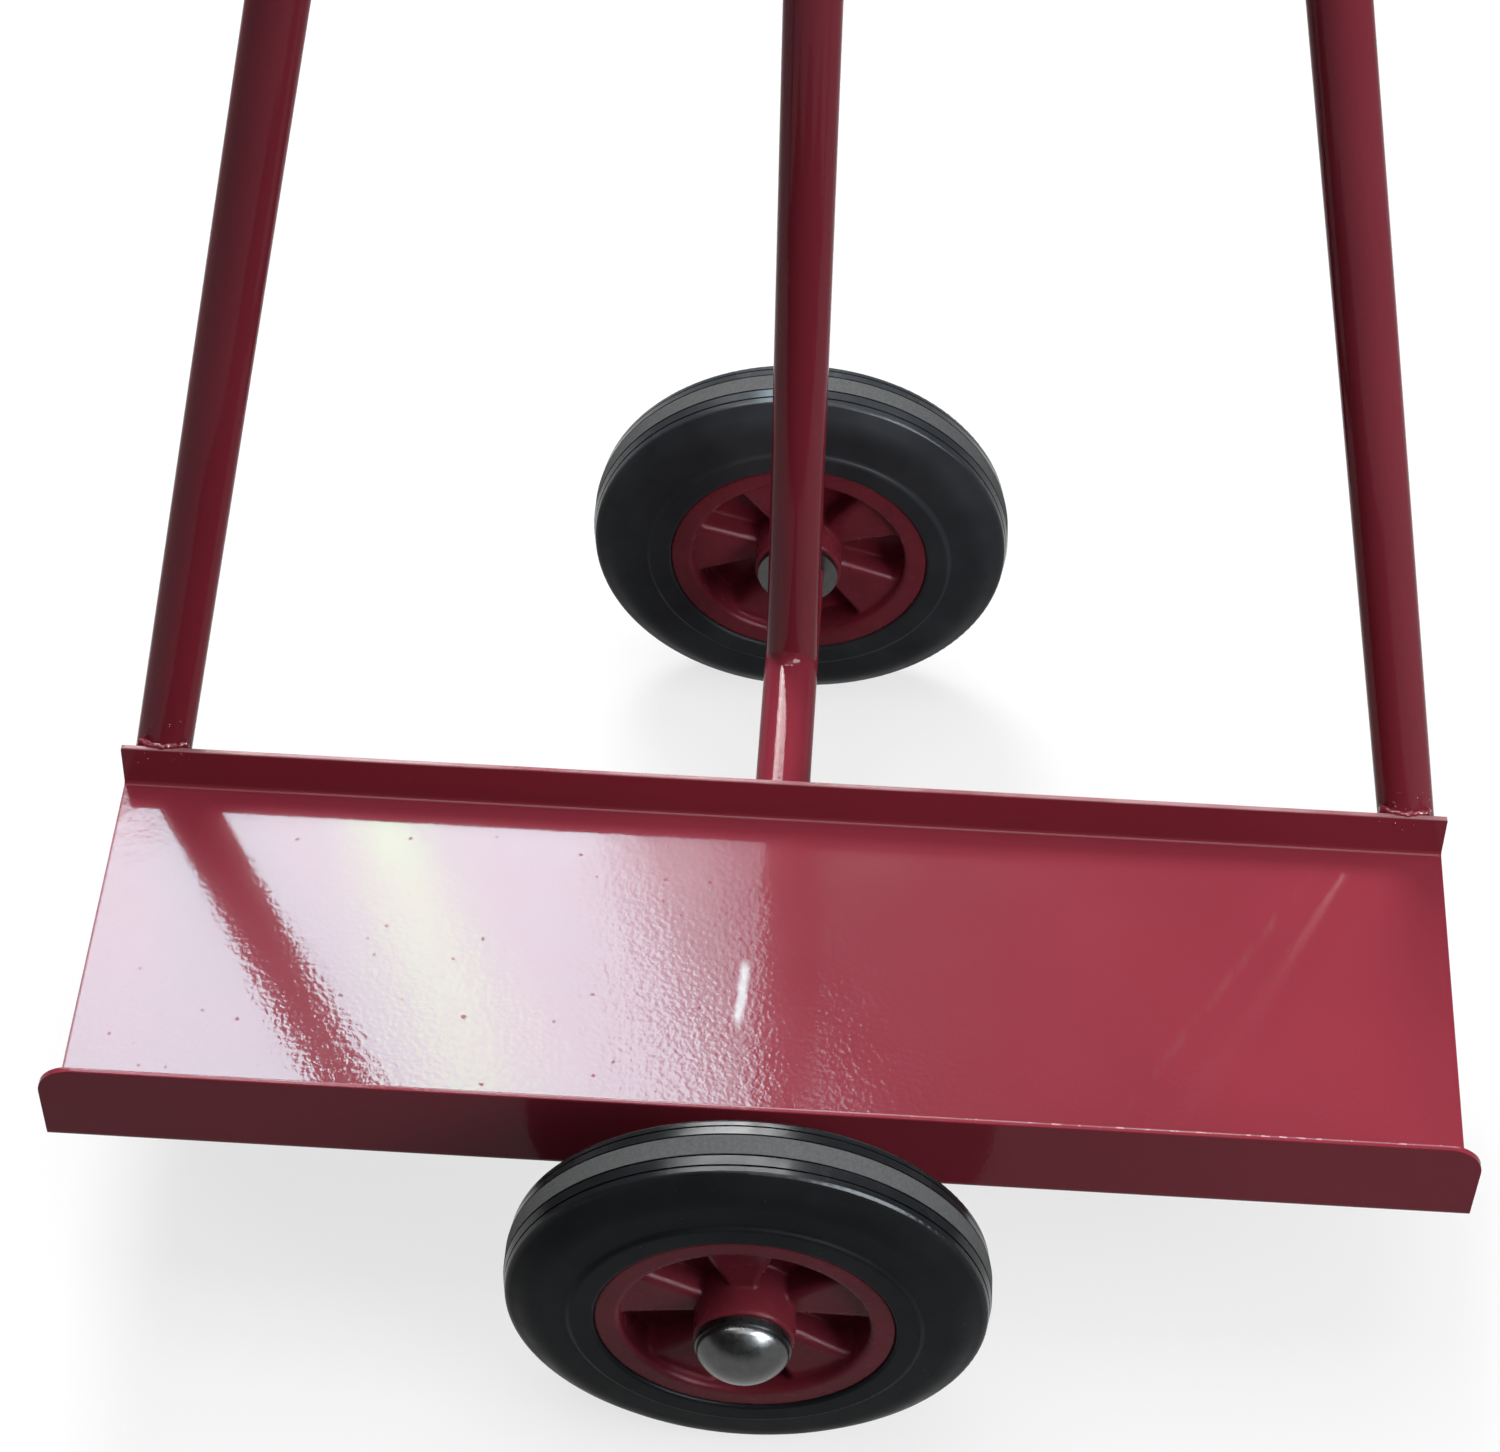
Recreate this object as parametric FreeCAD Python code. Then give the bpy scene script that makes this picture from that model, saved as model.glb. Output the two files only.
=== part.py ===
import FreeCAD, Part
import math
import os

from FreeCAD import Rotation, Vector

# Panel cart: a bent sheet tray on a cross axle with one wheel before it and one behind it.
# A leaning tube hoop backs the tray and ends in the push handle. A strut ties the handle to the axle tube.
# Millimetres. The origin is on the floor under the middle of the axle, +Z is up,
# +X runs along the tray and +Y points from the loading side to the hoop side.

# Overall
overall_height = 1000.0
track = 428.0

# Wheels
wheel_diameter = 200.0
tyre_width = 43.0
tread_band_width = 8.7
tread_strip_width = 3.7
tread_groove_width = 0.8
tread_groove_depth = 1.0
crown_width = 24.6
crown_drop = 1.4
shoulder_round = 1.8
sidewall_width = 37.6
sidewall_radius = 88.5
sidewall_round = 18.0
bead_ring_width = 10.0
bead_ring_height = 1.6
rim_flange_radius = 61.5
rim_flange_thickness = 3.8
rim_width = 40.6
rim_seat_radius = 54.0
rim_ring_wall = 3.0
rim_fillet = 1.5
rim_edge_round = 0.9
ring_edge_round = 2.0
rim_web_thickness = 6.0
hub_length = 54.0
hub_wall = 3.6
hub_draft = 0.8
spoke_count = 5
spoke_sector_deg = 35.5
spoke_draft_deg = 4.0
spoke_edge_radius = 3.5
spoke_drop_at_ring = 4.5
spoke_drop_at_hub = 6.0
window_ring_radius = 4.5
window_hub_radius = 3.0
front_spoke_angle = 22.0
rear_spoke_angle = 36.4

# Axle and bearings
axle_diameter = 20.0
axle_clearance = 0.25
axle_chamfer = 1.0
axle_tube_diameter = 25.0
roller_diameter = 5.0
roller_count = 10
roller_length = 40.0
running_clearance = 0.05
cage_wall = 3.0
sleeve_wall = 2.0
end_ring_thickness = 2.0
end_ring_clearance = 0.3
washer_diameter = 38.0
washer_thickness = 2.5
washer_clearance = 0.4
side_play = 0.3
cap_flange_diameter = 39.4
cap_flange_thickness = 1.4
cap_dome_diameter = 37.8
cap_dome_height = 13.2
cap_skirt = 1.0
cap_shoulder_radius = 5.0
cap_wall = 1.0
axle_end_in_cap = 5.0
press_gap = 0.02
tyre_gap = 0.05
same_place = 0.001

# Tray
sheet = 2.5
bend_radius = 2.0
tray_length = 590.0
tray_depth = 188.5
front_lip_height = 47.5
back_lip_length = 23.5
front_corner_radius = 15.0
back_corner_radius = 1.2
edge_round = 0.6
lip_to_wheel = 44.0

# Hoop and strut
lean_deg = 6.5
hoop_tube_diameter = 25.0
hoop_tube_wall = 2.0
hoop_bend_radius = 60.0
handle_width = 215.0
upright_inset = 14.0
strut_diameter = 24.0
strut_wall = 2.0
strut_to_wheel = 83.0

# Welds
weld_leg = 2.4
stitch_length = 36.0
stitch_count = 3

# Values that follow from the sizes above
axle_height = wheel_diameter / 2
axle_radius = axle_diameter / 2
axle_tube_radius = axle_tube_diameter / 2
front_wheel_y = -track / 2
rear_wheel_y = track / 2
tray_underside = axle_height + axle_tube_radius
tray_floor = tray_underside + sheet
tray_front = front_wheel_y + lip_to_wheel
tray_back = tray_front + sheet + tray_depth
lean = math.radians(lean_deg)
hoop_radius = hoop_tube_diameter / 2
strut_radius = strut_diameter / 2
hub_end = hub_length / 2
washer_start = hub_end + side_play
cap_start = washer_start + washer_thickness
axle_half = track / 2 + cap_start + axle_end_in_cap
axle_tube_half = track / 2 - cap_start
roller_pitch = axle_radius + roller_diameter / 2
sleeve_bore = axle_radius + roller_diameter
hub_bore = sleeve_bore + sleeve_wall
hub_radius = hub_bore + hub_wall
strut_foot = Vector(0, rear_wheel_y - strut_to_wheel, axle_height)

X = Vector(1, 0, 0)
Y = Vector(0, 1, 0)
Z = Vector(0, 0, 1)


def rounded_wire(corners, closed=True):
    """A wire through (point, radius) corners, each corner rounded by a tangent arc."""
    count = len(corners)
    edges = []
    ends = []
    for i, (point, radius) in enumerate(corners):
        inner = closed or 0 < i < count - 1
        if radius <= 0 or not inner:
            ends.append((point, None, point))
            continue
        before = (corners[i - 1][0] - point).normalize()
        after = (corners[(i + 1) % count][0] - point).normalize()
        half = before.getAngle(after) / 2
        reach = radius / math.tan(half)
        middle = (before + after).normalize()
        ends.append((
            point + before * reach,
            point + middle * (radius / math.sin(half) - radius),
            point + after * reach,
        ))
    for i, (start, middle, end) in enumerate(ends):
        if middle is not None:
            edges.append(Part.Arc(start, middle, end).toShape())
        if i + 1 < count or closed:
            following = ends[(i + 1) % count][0]
            if end.distanceToPoint(following) > 1e-6:
                edges.append(Part.LineSegment(end, following).toShape())
    return Part.Wire(edges)


def turned(corners):
    """A solid turned about the axle line from (radius, offset along the axle, corner radius) corners."""
    wire = rounded_wire([(Vector(r, s, 0), corner) for r, s, corner in corners])
    return Part.Face(wire).revolve(Vector(0, 0, 0), Y, 360)


def mirrored_half(half):
    """Corners of a profile that is the same on both sides of the wheel's middle plane."""
    return half + [(r, -s, corner) for r, s, corner in reversed(half)]


def ring(inner, outer, start, end):
    """A plain ring round the axle line."""
    return turned([(inner, start, 0), (outer, start, 0), (outer, end, 0), (inner, end, 0)])


def at_wheel(shape, wheel_y):
    """The shape moved from the axle line at the origin to a wheel's middle plane."""
    placed = shape.copy()
    placed.translate(Vector(0, wheel_y, axle_height))
    return placed


def facing_out(shape, wheel_y):
    """A shape modelled on the +Y side, turned to the outer side of a wheel and placed there."""
    placed = shape.copy()
    if wheel_y < 0:
        placed.rotate(Vector(0, 0, 0), Z, 180)
    return at_wheel(placed, wheel_y)


def rod(start, end, radius):
    """A round bar between two points."""
    along = end - start
    return Part.makeCylinder(radius, along.Length, start, along)


def make_tray():
    """Folded sheet: tall front lip, flat floor, short back lip that leans with the hoop."""
    lip = Vector(0, math.sin(lean), math.cos(lean))
    back_in = Vector(0, tray_back, tray_floor)
    back_out = back_in + Vector(0, sheet / math.cos(lean) - sheet * math.tan(lean), -sheet)
    lip_top_out = back_out + lip * back_lip_length
    lip_top_in = lip_top_out - Vector(0, math.cos(lean), -math.sin(lean)) * sheet
    front_top = tray_underside + front_lip_height
    outer_bend = bend_radius + sheet
    section = rounded_wire([
        (Vector(0, tray_front, front_top), edge_round),
        (Vector(0, tray_front, tray_underside), outer_bend),
        (back_out, outer_bend),
        (lip_top_out, edge_round),
        (lip_top_in, edge_round),
        (back_in, bend_radius),
        (Vector(0, tray_front + sheet, tray_floor), bend_radius),
        (Vector(0, tray_front + sheet, front_top), edge_round),
    ])
    section.translate(X * (-tray_length / 2))
    tray = Part.Face(section).extrude(X * tray_length)
    front_mask = lip_mask(front_lip_height, front_corner_radius)
    front_mask.translate(Vector(0, tray_front - sheet, tray_underside))
    back_mask = lip_mask(back_lip_length, back_corner_radius)
    back_mask.translate(Vector(0, -2 * sheet, 0))
    back_mask.rotate(Vector(0, 0, 0), X, -lean_deg)
    back_mask.translate(back_out)
    return tray.cut(front_mask).cut(back_mask)


def lip_mask(height, corner):
    """What is cut away outside a lip's two rounded top corners, standing on z = 0."""
    half = tray_length / 2
    reach = 3 * sheet
    outline = rounded_wire([
        (Vector(-half, 0, 0), 0),
        (Vector(half, 0, 0), 0),
        (Vector(half, 0, height), corner),
        (Vector(-half, 0, height), corner),
    ])
    keep = Part.Face(outline).extrude(Y * reach)
    corners = [
        Part.makeBox(corner, reach, corner, Vector(side, 0, height - corner))
        for side in (-half, half - corner)
    ]
    return Part.makeCompound([block.cut(keep) for block in corners])


def hoop_centre(height):
    """Y of the hoop's plane at a height, with the tubes lying against the back of the lip."""
    lip_back = tray_back + sheet / math.cos(lean) + (height - tray_floor) * math.tan(lean)
    return lip_back + hoop_radius / math.cos(lean)


handle_z = overall_height - hoop_radius
handle_line = Vector(0, hoop_centre(handle_z), handle_z)


def hoop_path():
    """The tube's centre line: up one side, over the handle and down the other side."""
    foot_z = tray_underside - hoop_tube_diameter
    foot_half = tray_length / 2 - upright_inset
    handle_half = handle_width / 2
    slope = (foot_half - handle_half) / (handle_z - tray_underside)
    low_half = foot_half + slope * (tray_underside - foot_z)
    foot_y = hoop_centre(foot_z)
    return rounded_wire([
        (Vector(-low_half, foot_y, foot_z), 0),
        (Vector(-handle_half, handle_line.y, handle_z), hoop_bend_radius),
        (Vector(handle_half, handle_line.y, handle_z), hoop_bend_radius),
        (Vector(low_half, foot_y, foot_z), 0),
    ], closed=False)


def pipe(path, radius):
    """A round solid swept along a tangent path."""
    start = path.Edges[0].Vertexes[0].Point
    direction = path.Edges[0].tangentAt(path.Edges[0].FirstParameter)
    circle = Part.Wire(Part.makeCircle(radius, start, direction))
    return path.makePipeShell([circle], True, False)


def make_hoop():
    """Bent tube hoop, its two feet cut level with the underside of the tray."""
    path = hoop_path()
    tube = pipe(path, hoop_radius).cut(pipe(path, hoop_radius - hoop_tube_wall))
    reach = 2 * tray_length
    below = Part.makeBox(reach, reach, reach, Vector(-reach / 2, -reach / 2, tray_underside - reach))
    return tube.cut(below)


def make_strut():
    """Straight tube from the axle tube to the underside of the handle, coped at both ends."""
    outside = rod(strut_foot, handle_line, strut_radius)
    inside = rod(strut_foot, handle_line, strut_radius - strut_wall)
    handle_bar = handle_block(hoop_radius)
    return outside.cut(inside).cut(axle_tube_block(axle_tube_radius)).cut(handle_bar)


def handle_block(radius):
    """The straight middle of the handle as a solid bar."""
    half = handle_width / 2
    return rod(handle_line - X * half, handle_line + X * half, radius)


def axle_tube_block(radius):
    """The axle tube's outside as a solid bar."""
    end = Vector(0, axle_tube_half, axle_height)
    return rod(Vector(0, -axle_tube_half, axle_height), end, radius)


def make_axle_tube():
    return axle_tube_block(axle_tube_radius).cut(axle_tube_block(axle_radius + axle_clearance))


def make_axle():
    """Plain steel bar through the tube and both wheels, with chamfered ends."""
    bar = rod(Vector(0, -axle_half, axle_height), Vector(0, axle_half, axle_height), axle_radius)
    return bar.makeChamfer(axle_chamfer, [e for e in bar.Edges if isinstance(e.Curve, Part.Circle)])


def make_hoop_welds(tray):
    """One bead on each side: along the lip's top edge before the tube and down both of its flanks."""
    beads = []
    lip = Vector(0, math.sin(lean), math.cos(lean))
    lip_height = back_lip_length - sheet
    start = Vector(0, hoop_centre(tray_floor) - hoop_radius / math.cos(lean), tray_floor)
    top = start + lip * lip_height
    foot_half = tray_length / 2 - upright_inset
    slope = (foot_half - handle_width / 2) / (handle_z - tray_underside)
    low = foot_half - slope * (start.z - tray_underside)
    high = foot_half - slope * (top.z - tray_underside)
    flank = math.sqrt(2 * hoop_radius * weld_leg)
    for side in (-1, 1):
        bead = rod(
            Vector(side * high - flank, top.y, top.z),
            Vector(side * high + flank, top.y, top.z),
            weld_leg,
        )
        for flank_side in (-flank, flank):
            foot = Vector(side * low + flank_side, start.y, start.z)
            head = Vector(side * high + flank_side, top.y, top.z)
            bead = bead.fuse(rod(foot, head, weld_leg)).fuse(Part.makeSphere(weld_leg, head))
        bead = bead.cut(tray).cut(filled_upright(side))
        beads.append(max(bead.Solids, key=lambda solid: solid.Volume))
    return Part.makeCompound(beads)


def filled_upright(side):
    """One upright as a solid bar, for cutting the welds to it."""
    foot_half = tray_length / 2 - upright_inset
    foot = Vector(side * foot_half, hoop_centre(tray_underside), tray_underside)
    head = Vector(side * handle_width / 2, handle_line.y, handle_z)
    along = (head - foot).normalize() * hoop_tube_diameter
    return rod(foot - along, head, hoop_radius)


def make_collar_weld(fixed_block, fixed_grown, foot, away):
    """The bead round a coped strut end: close to both the strut and the bar that it meets."""
    reach = away * (2 * hoop_tube_diameter)
    grown = rod(foot, foot + reach, strut_radius + weld_leg)
    strut_block = rod(foot, foot + reach, strut_radius)
    return grown.common(fixed_grown).cut(strut_block).cut(fixed_block)


def make_strut_welds():
    up = (handle_line - strut_foot).normalize()
    foot_weld = make_collar_weld(
        axle_tube_block(axle_tube_radius), axle_tube_block(axle_tube_radius + weld_leg), strut_foot, up
    )
    head_weld = make_collar_weld(
        handle_block(hoop_radius), handle_block(hoop_radius + weld_leg), handle_line, -up
    )
    return foot_weld, head_weld


def make_axle_tube_welds(tray):
    """Stitch beads in the wedges between the axle tube and the underside of the tray."""
    half_gap = math.sqrt(2 * axle_tube_radius * weld_leg)
    first = tray_front + bend_radius + sheet
    last = tray_back - bend_radius
    step = (last - first - stitch_length) / (stitch_count - 1)
    beads = []
    for side in (-1, 1):
        for i in range(stitch_count):
            start = Vector(side * half_gap, first + i * step, tray_underside - weld_leg / 2)
            bead = rod(start, start + Y * stitch_length, weld_leg)
            bead = bead.cut(tray).cut(axle_tube_block(axle_tube_radius))
            beads.append(min(bead.Solids, key=lambda solid: solid.BoundBox.ZMin))
    return Part.makeCompound(beads)


def make_tyre():
    """Solid rubber tyre: raised bead rings, rounded sidewalls and a crown with four grooves round it."""
    radius = wheel_diameter / 2
    band = tread_band_width / 2
    crown = crown_width / 2
    side = tyre_width / 2
    bead_outer = rim_flange_radius + bead_ring_width
    flange_inner = rim_width / 2 - rim_flange_thickness - tyre_gap
    fall = crown_drop / (crown - band)
    half = [
        (rim_seat_radius + tyre_gap, flange_inner, 0),
        (rim_flange_radius + tyre_gap, flange_inner, 0),
        (rim_flange_radius + tyre_gap, side, bead_ring_height),
        (bead_outer, side, bead_ring_height),
        (bead_outer + bead_ring_height, side - bead_ring_height, bead_ring_height),
        (sidewall_radius, sidewall_width / 2, sidewall_round),
        (radius - crown_drop, crown, shoulder_round),
    ]
    for near in (band + tread_groove_width + tread_strip_width, band):
        far = near + tread_groove_width
        near_radius = radius - fall * (near - band)
        far_radius = radius - fall * (far - band)
        half += [
            (far_radius, far, 0),
            (far_radius - tread_groove_depth, far, 0),
            (near_radius - tread_groove_depth, near, 0),
            (near_radius, near, 0),
        ]
    return turned(mirrored_half(half))


def make_rim():
    """Moulded rim: flanged ring, thin web, drafted hub and spokes standing on both faces."""
    ring_bore = rim_seat_radius - rim_ring_wall
    ring_face = rim_width / 2
    web = rim_web_thickness / 2
    seat_end = ring_face - rim_flange_thickness
    half = [
        (hub_bore, hub_end, 0),
        (hub_radius, hub_end, rim_edge_round),
        (hub_radius + hub_draft, web, rim_fillet),
        (ring_bore, web, rim_fillet),
        (ring_bore, ring_face, ring_edge_round),
        (rim_flange_radius, ring_face, rim_edge_round),
        (rim_flange_radius, seat_end, 0),
        (rim_seat_radius, seat_end, 0),
    ]
    return turned(mirrored_half(half)).fuse(make_spokes(ring_bore, ring_face)).removeSplitter()


def make_spokes(ring_bore, ring_face):
    """All spokes in one piece, the first along +X: a disc with sloping faces and windows between them."""
    near = hub_radius - hub_wall / 2
    far = rim_seat_radius - rim_ring_wall / 4
    near_face = ring_face - spoke_drop_at_hub
    far_face = ring_face - spoke_drop_at_ring
    disc = turned(mirrored_half([(near, near_face, 0), (far, far_face, 0)]))
    windows = []
    for side in (-1, 1):
        root = window_outline(ring_bore, 0, spoke_sector_deg + spoke_draft_deg)
        mouth = window_outline(ring_bore, side * ring_face, spoke_sector_deg)
        for i in range(spoke_count):
            window = Part.makeLoft([root, mouth], True, True)
            window.rotate(Vector(0, 0, 0), Y, (i + 0.5) * 360 / spoke_count)
            windows.append(window)
    spokes = disc.cut(windows)
    edges = []
    for edge in spokes.Edges:
        point = edge.valueAt((edge.FirstParameter + edge.LastParameter) / 2)
        distance = math.hypot(point.x, point.z)
        face = near_face + (far_face - near_face) * (distance - near) / (far - near)
        at_face = abs(abs(point.y) - face) < same_place
        on_rim = min(distance - near, far - distance) < same_place
        seam = any(edge.isSeam(skin) for skin in spokes.Faces)
        if at_face and not on_rim and not seam:
            edges.append(edge)
    return spokes.makeFillet(spoke_edge_radius, edges)


def window_outline(ring_bore, height, spoke_sector):
    """The rounded outline of the window along +X, with its ends sunk into the hub and the ring."""
    half = (360 / spoke_count - spoke_sector) / 2
    far = ring_bore + rim_ring_wall / 2
    corners = []
    for distance, angle, rounding in (
        (hub_radius, -half, window_hub_radius),
        (far, -half, window_ring_radius),
        (far, 0, far / 2),
        (far, half, window_ring_radius),
        (hub_radius, half, window_hub_radius),
    ):
        corners.append((Rotation(Y, angle).multVec(X * distance) + Y * height, rounding))
    return rounded_wire(corners)


def make_roller(angle):
    """One bearing roller, lying along the axle at its place round the pitch circle."""
    place = Rotation(Y, angle).multVec(X * roller_pitch)
    half = Y * (roller_length / 2)
    return rod(place - half, place + half, roller_diameter / 2 - running_clearance)


def make_rollers():
    return Part.makeCompound([make_roller(i * 360 / roller_count) for i in range(roller_count)])


def make_cage():
    """Moulded cage: a sleeve with one slot for each roller."""
    length = hub_length - 2 * end_ring_thickness - 2 * end_ring_clearance
    cage = ring(roller_pitch - cage_wall / 2, roller_pitch + cage_wall / 2, -length / 2, length / 2)
    width = roller_diameter + 4 * running_clearance
    slot_length = roller_length + 4 * running_clearance
    slots = []
    for i in range(roller_count):
        slot = Part.makeBox(2 * cage_wall, slot_length, width)
        slot.translate(Vector(roller_pitch - cage_wall, -slot_length / 2, -width / 2))
        slot.rotate(Vector(0, 0, 0), Y, i * 360 / roller_count)
        slots.append(slot)
    return cage.cut(slots)


def make_sleeve():
    """Steel race pressed into the hub, between the two end rings."""
    half = hub_end - end_ring_thickness - press_gap
    return ring(sleeve_bore, hub_bore - press_gap, -half, half)


def make_end_rings():
    """Two rings that close the hub's ends and keep the rollers in."""
    inner = axle_radius + end_ring_clearance
    start = hub_end - end_ring_thickness
    rings = [ring(inner, hub_bore - press_gap, side * start, side * hub_end) for side in (-1, 1)]
    return Part.makeCompound(rings)


def make_washer(inward):
    """Flat washer beside the hub, on the outer side or, turned over, on the tray's side."""
    start = -cap_start if inward else washer_start
    bore = axle_radius + washer_clearance
    return ring(bore, washer_diameter / 2, start, start + washer_thickness)


def make_cap():
    """Push-on cap: a flange that grips the axle and a hollow dome over the axle's end."""
    flange_end = cap_start + cap_flange_thickness
    flange = ring(axle_radius, cap_flange_diameter / 2, cap_start, flange_end)
    dome = dome_solid(0, flange_end)
    hollow = dome_solid(cap_wall, flange_end)
    return flange.fuse(dome.cut(hollow)).removeSplitter()


def dome_solid(inset, start):
    """The cap's dome shrunk by an inset: a short upright skirt, a tight shoulder arc and a wide crown arc."""
    radius = cap_dome_diameter / 2 - inset
    height = cap_dome_height - inset
    shoulder = cap_shoulder_radius - inset
    rise = height - cap_skirt
    middle = radius - shoulder
    crown = (middle ** 2 + rise ** 2 - shoulder ** 2) / (2 * (rise - shoulder))
    crown_centre = Vector(0, start + height - crown, 0)
    shoulder_centre = Vector(middle, start + cap_skirt, 0)
    across = shoulder_centre - crown_centre
    turn = math.atan2(across.x, across.y)

    def on_arc(centre, arc_radius, angle):
        return centre + Vector(math.sin(angle), math.cos(angle), 0) * arc_radius

    base = Vector(0, start, 0)
    foot = Vector(radius, start, 0)
    edge = Vector(radius, start + cap_skirt, 0)
    meet = on_arc(crown_centre, crown, turn)
    apex = Vector(0, start + height, 0)
    wire = Part.Wire([
        Part.LineSegment(base, foot).toShape(),
        Part.LineSegment(foot, edge).toShape(),
        Part.Arc(edge, on_arc(shoulder_centre, shoulder, (turn + math.pi / 2) / 2), meet).toShape(),
        Part.Arc(meet, on_arc(crown_centre, crown, turn / 2), apex).toShape(),
        Part.LineSegment(apex, base).toShape(),
    ])
    return Part.Face(wire).revolve(Vector(0, 0, 0), Y, 360)


def wheel_nodes(name, wheel_y, rim, spoke_angle):
    """Every piece on one end of the axle, by node name, with the rim turned to its spoke angle."""
    turned_rim = rim.copy()
    turned_rim.rotate(Vector(0, 0, 0), Y, -spoke_angle)
    return {
        name + "_tyre": at_wheel(make_tyre(), wheel_y),
        name + "_rim": at_wheel(turned_rim, wheel_y),
        name + "_bearing_sleeve": at_wheel(make_sleeve(), wheel_y),
        name + "_bearing_end_rings": at_wheel(make_end_rings(), wheel_y),
        name + "_roller_cage": at_wheel(make_cage(), wheel_y),
        name + "_rollers": at_wheel(make_rollers(), wheel_y),
        name + "_inner_washer": facing_out(make_washer(True), wheel_y),
        name + "_outer_washer": facing_out(make_washer(False), wheel_y),
        name + "_hub_cap": facing_out(make_cap(), wheel_y),
    }


def frame_nodes():
    """The welded frame's pieces and their welds, by node name."""
    tray = make_tray()
    foot_weld, head_weld = make_strut_welds()
    return {
        "tray": tray,
        "back_hoop": make_hoop(),
        "handle_strut": make_strut(),
        "axle_tube": make_axle_tube(),
        "axle_bar": make_axle(),
        "hoop_welds": make_hoop_welds(tray),
        "strut_foot_weld": foot_weld,
        "strut_head_weld": head_weld,
        "axle_tube_welds": make_axle_tube_welds(tray),
    }


def main():
    os.makedirs("parts", exist_ok=True)
    nodes = frame_nodes()
    rim = make_rim()
    nodes.update(wheel_nodes("front", front_wheel_y, rim, front_spoke_angle))
    nodes.update(wheel_nodes("rear", rear_wheel_y, rim, rear_spoke_angle))
    for name, shape in nodes.items():
        if not shape.isValid():
            raise ValueError(name + " is not a valid shape")
        shape.exportStep(os.path.join("parts", name + ".step"))
        print(f"{name}: {len(shape.Solids)} solids, {shape.Volume / 1000:.2f} cm3")


main()
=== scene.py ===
import math
import random

import bmesh
import bpy
from mathutils import Matrix, Vector, noise


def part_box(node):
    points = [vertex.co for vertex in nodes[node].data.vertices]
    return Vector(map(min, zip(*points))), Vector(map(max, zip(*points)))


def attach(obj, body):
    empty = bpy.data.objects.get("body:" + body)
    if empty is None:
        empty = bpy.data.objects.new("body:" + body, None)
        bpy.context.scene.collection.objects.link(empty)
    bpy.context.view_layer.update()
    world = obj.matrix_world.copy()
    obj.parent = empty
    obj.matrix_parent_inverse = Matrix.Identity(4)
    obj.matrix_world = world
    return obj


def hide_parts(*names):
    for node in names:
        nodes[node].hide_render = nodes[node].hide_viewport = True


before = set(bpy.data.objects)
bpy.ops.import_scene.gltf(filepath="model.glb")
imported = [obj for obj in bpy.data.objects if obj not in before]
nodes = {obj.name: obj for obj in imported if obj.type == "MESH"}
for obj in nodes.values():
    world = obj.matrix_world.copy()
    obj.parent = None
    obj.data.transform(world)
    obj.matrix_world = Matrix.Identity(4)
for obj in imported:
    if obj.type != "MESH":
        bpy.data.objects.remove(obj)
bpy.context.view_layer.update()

# Picture and camera: the photograph's frame, and where it was taken from
PICTURE_WIDTH = 1500
CAMERA_PLACE = Vector((0.0334, -1.0440, 1.4092))
CAMERA_DEPRESSION = math.radians(49.135)
CAMERA_YAW = math.radians(-2.553)
CAMERA_ROLL = math.radians(1.152)
FOCAL_PIXELS = 3744.8
SENSOR_WIDTH = 36.0

# Sizes in metres, read from the frame or repeated from the part
MM = 0.001
tray_low, tray_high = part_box("tray")
axle_low, axle_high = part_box("axle_tube")
front_tyre_low, front_tyre_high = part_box("front_tyre")
rear_tyre_low, rear_tyre_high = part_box("rear_tyre")
hoop_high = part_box("back_hoop")[1]
AXLE_Z = (axle_low.z + axle_high.z) / 2
AXLE_TUBE_RADIUS = (axle_high.z - axle_low.z) / 2
FRONT_WHEEL_Y = (front_tyre_low.y + front_tyre_high.y) / 2
REAR_WHEEL_Y = (rear_tyre_low.y + rear_tyre_high.y) / 2
TYRE_RADIUS = (front_tyre_high.x - front_tyre_low.x) / 2
TUBE_RADIUS = 12.5 * MM
STRUT_RADIUS = 12.0 * MM
SHEET = 2.5 * MM
BEND_RADIUS = 2.0 * MM
LEAN = math.radians(6.5)
UNDERSIDE = tray_low.z
FRONT_LIP_TOP = tray_high.z
BACK_LIP_LENGTH = 23.5 * MM
BACK_LIP_TOP = Vector((0.0, tray_high.y, UNDERSIDE + BACK_LIP_LENGTH * math.cos(LEAN)))
TRAY_BACK = BACK_LIP_TOP.y - BACK_LIP_LENGTH * math.sin(LEAN) - SHEET
HANDLE = Vector((0.0, hoop_high.y - TUBE_RADIUS, hoop_high.z - TUBE_RADIUS))
HANDLE_HALF = 107.5 * MM
UPRIGHT_INSET = 14.0 * MM
STRUT_TO_WHEEL = 83.0 * MM
STRUT_FOOT_Y = REAR_WHEEL_Y - STRUT_TO_WHEEL
WELD_SIZE = 2.4 * MM
FILLET_LEG = 6.0 * MM
FILLET_SINK = 0.15 * MM
STITCH_LENGTH = 36.0 * MM
STITCH_COUNT = 3
BAND_HALF = 4.35 * MM
CROWN_HALF = 12.3 * MM

# Colours, linear
RED_PAINT = (0.275, 0.033, 0.053)
RED_PLASTIC = (0.200, 0.025, 0.039)
RUBBER = (0.0142, 0.0156, 0.0178)
TREAD_GREY = (0.090, 0.092, 0.093)
# The zinc colour is far darker than real zinc: painted shade, standing in for the dark surroundings that the
# caps mirror
DARKENED_ZINC = (0.070, 0.070, 0.069)
STEEL = (0.46, 0.46, 0.46)
BLACK_PLASTIC = (0.018, 0.018, 0.019)
# Pale of the lips' top edges: worn paint, and on the front edge's right part also a painted highlight
BARE_EDGE_AND_HIGHLIGHT = (0.70, 0.50, 0.52)
SCRATCH_PALE = (0.56, 0.50, 0.52)
# Pale dust on the plastic, and on the tray the colour of a painted reflection line
PALE_DUST_AND_REFLECTION = (0.33, 0.30, 0.28)

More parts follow.
